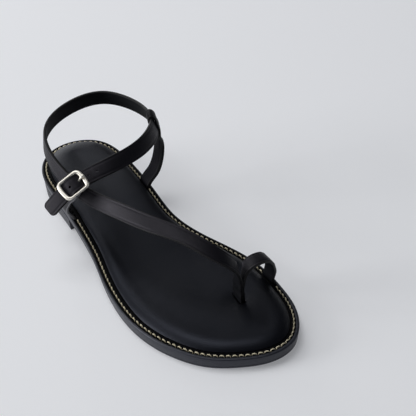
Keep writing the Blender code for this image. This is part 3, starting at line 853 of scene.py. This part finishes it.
# Lateral leg: one strip, up from the rim outside the wrap strap and round the buckle's bar, with its end
# glued down behind it. A slot punched in the fold lets the prong's hook through.
LATERAL_WIDTH, LATERAL_THICKNESS = 10.8, 1.8
LATERAL_FLAT = (1.0, -0.22, 0.0)
BAR_RADIUS, BAR_DROP, BAR_CLEAR = 0.9, 3.4, 0.3
LATERAL_LEG = (
    (68.2, -33.6, 12.3),
    (68.2, -33.6, 16.4),
    (68.4, -35.1, 20.0),
    (69.8, -39.2, 26.8),
    (76.0, -41.8, 38.5),
    (86.0, -43.8, 50.5),
)
LATERAL_FOLD = (-20, 40, 100, 160, 205)  # angles round the bar, in degrees
LATERAL_END = (
    (93.6, -42.8, 59.6),
    (89.8, -43.0, 54.6),
    (85.8, -42.2, 50.6),
    (81.8, -41.0, 46.2),
)
HOOK_SLOT_AT, HOOK_SLOT = (-0.75, 0, -3.7), (1.2, 3.2, 5.9)  # and its radius, stretch and depth


def round_bar(radius, angles):
    """Points round the buckle's bar, in the plane of the strap's middle."""
    return [
        buckle_point(radius * math.cos(a), 0, radius * math.sin(a) - BAR_DROP) for a in np.radians(angles)
    ]


def make_lateral_leg():
    fold = round_bar(BAR_RADIUS + BAR_CLEAR + LATERAL_THICKNESS / 2, LATERAL_FOLD)
    origin = buckle_point(0, 0, 0)
    run, side, face = (buckle_point(*axis) - origin for axis in np.eye(3))
    rows = [*LATERAL_LEG, *fold, *LATERAL_END]
    share = np.ones(len(rows))
    share[: len(LATERAL_LEG)] = np.linspace(0, 1, len(LATERAL_LEG)) ** 2
    flats = np.outer(1 - share, LATERAL_FLAT) - np.outer(share, side)
    # The lateral leg's edge is the dyed strap edge with a far paler colour, painted light for the light its
    # front edge catches, and a strong shine.
    finishes = (STRAP_FINISHES[0], strap_edge("leg_edge_painted_light", (0.11, 0.11, 0.12, 1), 0.8), STRAP_FINISHES[2])
    made = strip(
        "lateral_leg", rows, LATERAL_WIDTH, LATERAL_THICKNESS, flats, outer=-1, station=0.5, finishes=finishes
    )
    slot = round_cutter("hook_slot", buckle_point(*HOOK_SLOT_AT), face, run, *HOOK_SLOT)
    cut_away(made, [slot])
    return made


lateral_leg = make_lateral_leg()
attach(lateral_leg, "root")
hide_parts("upper_straps")


# Buckle: a centre-bar buckle of nickel-plated wire. The frame is bowed at its ends, the bar hangs from its
# sides, and the prong is hooked round the bar, comes up through the strap and rests on the frame's end.
BUCKLE_LENGTH, BUCKLE_WIDTH, BUCKLE_CORNER, BUCKLE_BOW = 17.4, 14.9, 2.1, 0.9
WIRE_RADIUS, WIRE_SIDES, CAP_TURNS = 0.95, 16, (20, 45, 70)
END_BREADTH = 1.45  # the frame's bowed ends are this much broader than its sides
CORNER_STEPS = 9
#   inset from the side's middle, share of the drop, share of the bar's radius
HANGER = ((0.0, 0.0, 0.5), (0.45, -0.6, 0.5), (0.55, -0.9, 0.7), (0.9, -1.0, 1.0))
PRONG_RADIUS, PRONG_SWELL = 0.65, 1.6
PRONG_HOOK = (210, 240, 270, 300, 330, 0, 30, 60, 90, 120, 150)
#   run   lift
PRONG_SHANK = ((-3.9, -2.4), (-4.9, -0.8), (-5.9, 0.9), (-7.0, 2.1), (-8.0, 2.4), (-8.6, 2.3))
PRONG_STEPS = 60


def nickel():
    """Satin nickel plate: creamy white, hazy, with hairline polishing marks."""
    made, shader, start = new_finish("nickel", Base_Color=(0.96, 0.92, 0.83, 1), Metallic=1.0)
    haze = noise(start, 400, detail=4)
    start.put(shader.inputs["Roughness"], 0.40 + 0.14 * haze)
    emboss(shader, start, noise(start, 2600, (1, 4, 1)), 0.08, 0.00003)
    return made


def wire(points, radii, up, closed=False, breadth=1.0):
    """(points, faces) of a wire through points, with round ends where it is open.

    breadth widens it, square to up, at each point.
    """
    points, radii = np.asarray(points, float), np.broadcast_to(radii, len(points)).astype(float)
    if closed:
        run = unit(np.roll(points, -1, axis=0) - np.roll(points, 1, axis=0))
    else:
        run = unit(np.gradient(points, axis=0))
        turn = np.radians(CAP_TURNS)
        past, share = np.sin(turn)[:, None], np.cos(turn)
        before = points[0] - run[0] * radii[0] * past
        after = points[-1] + run[-1] * radii[-1] * past
        points = np.vstack([before[::-1], points, after])
        radii = np.concatenate([radii[0] * share[::-1], radii, radii[-1] * share])
        run = np.vstack([run[:1]] * len(turn) + [run] + [run[-1:]] * len(turn))
    up = unit(np.asarray(up) - run * (run @ np.asarray(up))[:, None])
    side = np.cross(run, up)
    turn = np.linspace(0, 2 * np.pi, WIRE_SIDES, endpoint=False)
    side = side * np.broadcast_to(breadth, len(points))[:, None]
    around = np.cos(turn)[None, :, None] * side[:, None] + np.sin(turn)[None, :, None] * up[:, None]
    rings = points[:, None] + radii[:, None, None] * around
    count = len(points)
    if closed:
        faces = bands(count + 1, WIRE_SIDES)
        faces = [[n % (count * WIRE_SIDES) for n in face] for face in faces]
    else:
        faces = bands(count, WIRE_SIDES)
        faces += [list(range(WIRE_SIDES)), list(range((count - 1) * WIRE_SIDES, count * WIRE_SIDES))]
    return rings.reshape(-1, 3), faces


def make_buckle():
    origin = buckle_point(0, 0, 0)
    run, side, face = (buckle_point(*axis) - origin for axis in np.eye(3))
    half_length, half_width = BUCKLE_LENGTH / 2 - WIRE_RADIUS * END_BREADTH, BUCKLE_WIDTH / 2 - WIRE_RADIUS
    loop = []
    for quarter in range(4):
        corner = math.radians(45 + 90 * quarter)
        middle_along = math.copysign(half_length - BUCKLE_CORNER, math.cos(corner))
        middle_across = math.copysign(half_width - BUCKLE_CORNER, math.sin(corner))
        for angle in np.radians(np.linspace(0, 90, CORNER_STEPS) + 90 * quarter):
            along = middle_along + BUCKLE_CORNER * math.cos(angle)
            loop.append((along, middle_across + BUCKLE_CORNER * math.sin(angle)))
        if quarter % 2:
            start, end = half_width - BUCKLE_CORNER, BUCKLE_CORNER - half_width
            sign = -1 if quarter == 1 else 1
            for across in np.linspace(start, end, CORNER_STEPS)[1:-1]:
                loop.append((sign * half_length, -sign * across))
    bowed = [
        buckle_point(along + math.copysign(BUCKLE_BOW * (1 - (across / half_width) ** 2), along), across, 0)
        for along, across in loop
    ]
    ends = np.clip((np.abs([along for along, _ in loop]) - half_length + BUCKLE_CORNER) / BUCKLE_CORNER, 0, 1)
    breadth = 1 + (END_BREADTH - 1) * ends**2
    frame_points, frame_faces = wire(bowed, WIRE_RADIUS, face, closed=True, breadth=breadth)
    bar = [buckle_point(0, inset - half_width, lift * BAR_DROP) for inset, lift, _ in HANGER]
    bar += [buckle_point(0, half_width - inset, lift * BAR_DROP) for inset, lift, _ in HANGER[::-1]]
    taper = [share for *_, share in HANGER]
    bar_points, bar_faces = wire(bar, [BAR_RADIUS * share for share in taper + taper[::-1]], run)
    bar_faces = [[n + len(frame_points) for n in faces] for faces in bar_faces]
    finish = nickel()
    made = piece("buckle_wire", np.vstack([frame_points, bar_points]), frame_faces + bar_faces, (finish,))
    hook = round_bar(BAR_RADIUS + BAR_CLEAR + PRONG_RADIUS, PRONG_HOOK)
    shank = [buckle_point(along, 0, lift) for along, lift in PRONG_SHANK]
    path = np.array([*hook, *shank])
    swell = np.concatenate([np.ones(len(hook)), np.linspace(1, PRONG_SWELL, len(shank))])[:, None]
    knots = chords(path)
    where = np.linspace(0, knots[-1], PRONG_STEPS)
    radii = PRONG_RADIUS * spline(knots, swell, where)[:, 0]
    points, faces = wire(spline(knots, path, where), radii, side)
    return made, piece("prong_wire", points, faces, (finish,))


buckle, prong = make_buckle()
for item, node in ((buckle, "buckle_frame"), (prong, "buckle_prong")):
    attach(item, "root")
    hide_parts(node)


# Studio: a pale seamless floor with a faint glow of its own, a low window on the left, dimmer panels
# behind and above the shoe, and a dim room.
FLOOR_SIZE, FLOOR_GLOW = 8.0, 0.29
FLOOR_COLOUR = (0.775, 0.785, 0.81, 1)
PANEL = 1.1
#   name       from                   power
LIGHTS = (
    ("left_window", (-2.12, 1.22, 0.52), 37.6),
    ("left_panel", (-1.81, 0.94, 1.43), 5.5),
    ("rear_window", (0.63, 2.33, 0.65), 10.0),
    ("rear_panel", (-0.47, 1.28, 2.10), 6.3),
    ("top_panel", (-0.22, 0.38, 2.46), 14.0),
    ("far_window", (0.57, 1.77, 1.67), 3.2),
)
ROOM_COLOUR, ROOM_STRENGTH = (0.80, 0.87, 1.0, 1), 0.075


def make_studio():
    bpy.ops.mesh.primitive_plane_add(size=FLOOR_SIZE)
    floor = bpy.context.object
    floor.name = "paper_floor"
    paper, shader, start = new_finish(
        "paper", Base_Color=FLOOR_COLOUR, Specular_IOR_Level=0.2, Emission_Color=FLOOR_COLOUR,
        Emission_Strength=FLOOR_GLOW,
    )
    start.put(shader.inputs["Roughness"], 0.7 + 0.1 * noise(start, 40))
    floor.data.materials.append(paper)
    for name, spot, power in LIGHTS:
        light = bpy.data.lights.new(name, "AREA")
        light.size = PANEL
        light.energy = power
        lamp = bpy.data.objects.new(name, light)
        lamp.location = spot
        lamp.rotation_mode = "QUATERNION"
        lamp.rotation_quaternion = (-Vector(spot)).to_track_quat("-Z", "Y")
        bpy.context.scene.collection.objects.link(lamp)
    room = bpy.data.worlds.new("room")
    room.use_nodes = True
    air = room.node_tree.nodes["Background"]
    air.inputs["Color"].default_value = ROOM_COLOUR
    air.inputs["Strength"].default_value = ROOM_STRENGTH
    bpy.context.scene.world = room
    bpy.context.scene.view_settings.view_transform = "Standard"


make_studio()


# Camera: a long lens above the outer side of the toe, looking back along the shoe, with a slight roll.
# Its place, direction and lens were fitted to the photograph.
CAMERA_AT = (681.0, -374.1, 579.4)  # in the shoe's millimetres
CAMERA_LOOK = (0.4639, 0.6235, -0.6293)
CAMERA_ROLL = -2.9
LENS, SENSOR = 113.9, 36.0


def make_camera():
    lens = bpy.data.cameras.new("camera")
    lens.lens, lens.sensor_width = LENS, SENSOR
    camera = bpy.data.objects.new("camera", lens)
    camera.location = place(CAMERA_AT)
    camera.rotation_mode = "QUATERNION"
    roll = Quaternion((0, 0, 1), math.radians(CAMERA_ROLL))
    camera.rotation_quaternion = Vector(CAMERA_LOOK).to_track_quat("-Z", "Y") @ roll
    bpy.context.scene.collection.objects.link(camera)
    bpy.context.scene.camera = camera


make_camera()
